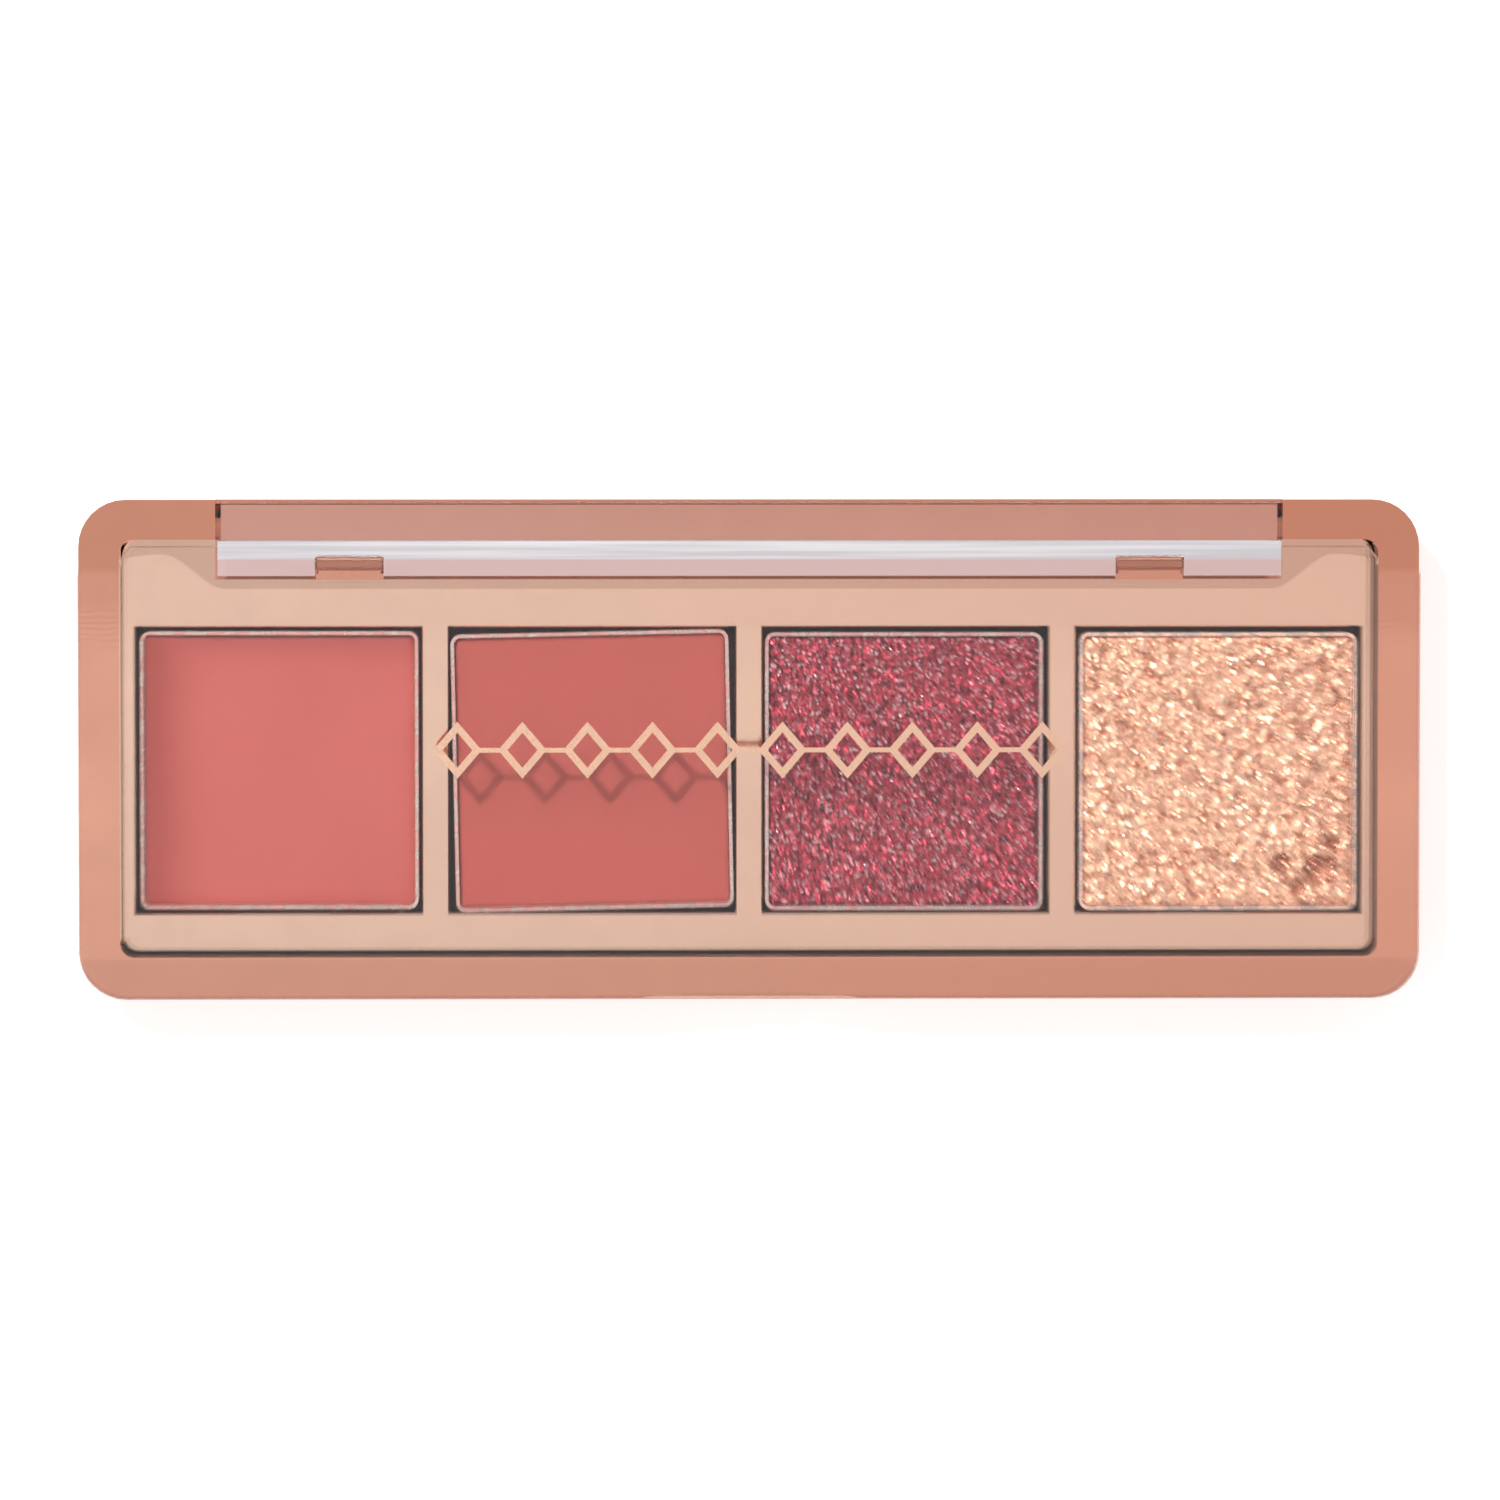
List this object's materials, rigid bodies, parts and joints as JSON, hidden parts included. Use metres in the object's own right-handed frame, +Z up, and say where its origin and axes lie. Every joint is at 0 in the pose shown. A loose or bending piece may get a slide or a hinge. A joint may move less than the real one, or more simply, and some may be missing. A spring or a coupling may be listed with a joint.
{
  "type": "eyeshadow palette",
  "caption": "Slim oblong eyeshadow palette: metallic tub with square powder pans in a tray under a clear lid that hinges at the back.",
  "frame": {"origin": "centre of the closed palette's footprint, on the surface it stands on", "axes": "+X along the length to the right as seen from above with the hinge at the back, +Y to the hinge side, +Z up"},
  "size_m": [0.094, 0.035, 0.0096],
  "materials": {
    "rose_gold": "rose-gold vacuum-metallised plastic, polished",
    "champagne": "champagne vacuum-metallised plastic, polished",
    "pan_metal": "pressed bright metal",
    "powder_cream": "smooth satin cream, coral pink",
    "powder_matte": "matte pressed powder with a fine woven press pattern, dusty rose",
    "powder_shimmer": "berry shimmer powder with a wavy grain and pink sparkle",
    "powder_glitter": "champagne foil-flake glitter, crumbly",
    "glue": "soft hot-melt",
    "pin_steel": "drawn wire, copper tinted",
    "label": "blank satin paper label",
    "clear_plastic": "clear polished moulded plastic",
    "tab_film": "rose-gold printed film",
    "foil": "peach-gold hot-stamped foil"
  },
  "bodies": {
    "base": {"base_shell": "rose_gold", "tray_insert": "champagne", "pan_1": "pan_metal", "pan_2": "pan_metal", "pan_3": "pan_metal", "pan_4": "pan_metal", "powder_cream": "powder_cream", "powder_matte": "powder_matte", "powder_shimmer": "powder_shimmer", "powder_glitter": "powder_glitter", "pan_glue_1": "glue", "pan_glue_2": "glue", "pan_glue_3": "glue", "pan_glue_4": "glue", "hinge_pin_left": "pin_steel", "hinge_pin_right": "pin_steel", "base_label": "label"},
    "lid": {"lid_window": "clear_plastic", "tab_band": "tab_film", "lid_ornament": "foil"}
  },
  "joints": [
    {"name": "lid_hinge", "type": "hinge", "parent": "base", "child": "lid", "pos_m": [0, 0.013, 0.0085], "axis": [-1, 0, 0], "range_deg": [0, 93]}
  ]
}
